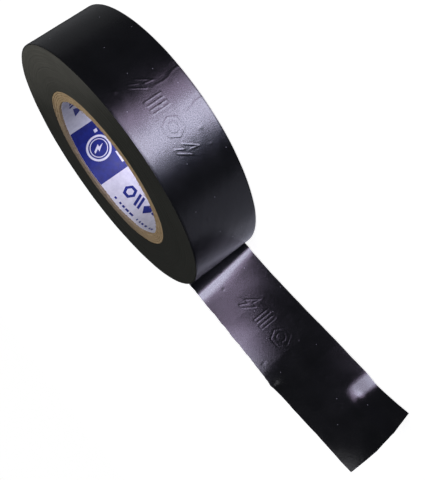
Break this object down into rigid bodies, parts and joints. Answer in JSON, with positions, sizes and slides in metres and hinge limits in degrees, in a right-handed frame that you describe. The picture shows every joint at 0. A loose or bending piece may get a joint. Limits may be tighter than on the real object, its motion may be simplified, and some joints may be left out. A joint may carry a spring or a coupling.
{
  "type": "electrical tape roll",
  "caption": "Roll of black vinyl electrical tape on a paper core with a printed liner, lying flat, with a short free tail peeled off its tread.",
  "frame": {"origin": "centre of the core's bore, in the plane of the lower side face that the roll lies on", "axes": "+Z along the roll's axis, up from the lower side face; the tail leaves the roll on the -X side; the tape unwinds clockwise seen from +Z"},
  "size_m": [0.1209, 0.0689, 0.018],
  "materials": {
    "kraft_board": "brown kraft board, raw cut edge",
    "label_paper": "white coated paper printed in dark blue",
    "wound_edge": "matte slit edges of many layers",
    "vinyl_film": "satin black PVC film with fine calender grain",
    "adhesive": "tacky black rubber adhesive"
  },
  "bodies": {
    "roll": {"core_ply_1": "kraft_board", "core_ply_2": "kraft_board", "core_ply_3": "kraft_board", "core_ply_4": "kraft_board", "core_ply_5": "kraft_board", "core_label": "label_paper", "wound_tape": "wound_edge", "outer_turn_film": "vinyl_film", "outer_turn_adhesive": "adhesive"},
    "tail_1": {"tail_film_1": "vinyl_film", "tail_adhesive_1": "adhesive"},
    "tail_2": {"tail_film_2": "vinyl_film", "tail_adhesive_2": "adhesive"},
    "tail_3": {"tail_film_3": "vinyl_film", "tail_adhesive_3": "adhesive"},
    "tail_4": {"tail_film_4": "vinyl_film", "tail_adhesive_4": "adhesive"},
    "tail_5": {"tail_film_5": "vinyl_film", "tail_adhesive_5": "adhesive"},
    "tail_6": {"tail_film_6": "vinyl_film", "tail_adhesive_6": "adhesive"},
    "tail_7": {"tail_film_7": "vinyl_film", "tail_adhesive_7": "adhesive"},
    "tail_8": {"tail_film_8": "vinyl_film", "tail_adhesive_8": "adhesive"}
  },
  "joints": [
    {"name": "tail_peel", "type": "hinge", "parent": "roll", "child": "tail_1", "pos_m": [-0.03457, -0.00242, 0.009], "axis": [0, 0, 1], "range_deg": [-101, 61]},
    {"name": "tail_bend_1", "type": "hinge", "parent": "tail_1", "child": "tail_2", "pos_m": [-0.03818, -0.0038, 0.009], "axis": [0, 0, 1], "range_deg": [-13.5, 8.2]},
    {"name": "tail_bend_2", "type": "hinge", "parent": "tail_2", "child": "tail_3", "pos_m": [-0.04533, -0.00675, 0.009], "axis": [0, 0, 1], "range_deg": [-13.5, 8.2]},
    {"name": "tail_bend_3", "type": "hinge", "parent": "tail_3", "child": "tail_4", "pos_m": [-0.0524, -0.00987, 0.009], "axis": [0, 0, 1], "range_deg": [-13.5, 8.2]},
    {"name": "tail_bend_4", "type": "hinge", "parent": "tail_4", "child": "tail_5", "pos_m": [-0.0594, -0.01316, 0.009], "axis": [0, 0, 1], "range_deg": [-13.5, 8.2]},
    {"name": "tail_bend_5", "type": "hinge", "parent": "tail_5", "child": "tail_6", "pos_m": [-0.06631, -0.01663, 0.009], "axis": [0, 0, 1], "range_deg": [-13.5, 8.2]},
    {"name": "tail_bend_6", "type": "hinge", "parent": "tail_6", "child": "tail_7", "pos_m": [-0.07314, -0.02026, 0.009], "axis": [0, 0, 1], "range_deg": [-13.5, 8.2]},
    {"name": "tail_bend_7", "type": "hinge", "parent": "tail_7", "child": "tail_8", "pos_m": [-0.07988, -0.02405, 0.009], "axis": [0, 0, 1], "range_deg": [-13.5, 8.2]}
  ],
  "couplings": [
    {"joint": "tail_bend_1", "follows": "tail_peel", "ratio": 0.1321},
    {"joint": "tail_bend_2", "follows": "tail_peel", "ratio": 0.1321},
    {"joint": "tail_bend_3", "follows": "tail_peel", "ratio": 0.1321},
    {"joint": "tail_bend_4", "follows": "tail_peel", "ratio": 0.1321},
    {"joint": "tail_bend_5", "follows": "tail_peel", "ratio": 0.1321},
    {"joint": "tail_bend_6", "follows": "tail_peel", "ratio": 0.1321},
    {"joint": "tail_bend_7", "follows": "tail_peel", "ratio": 0.1321}
  ]
}
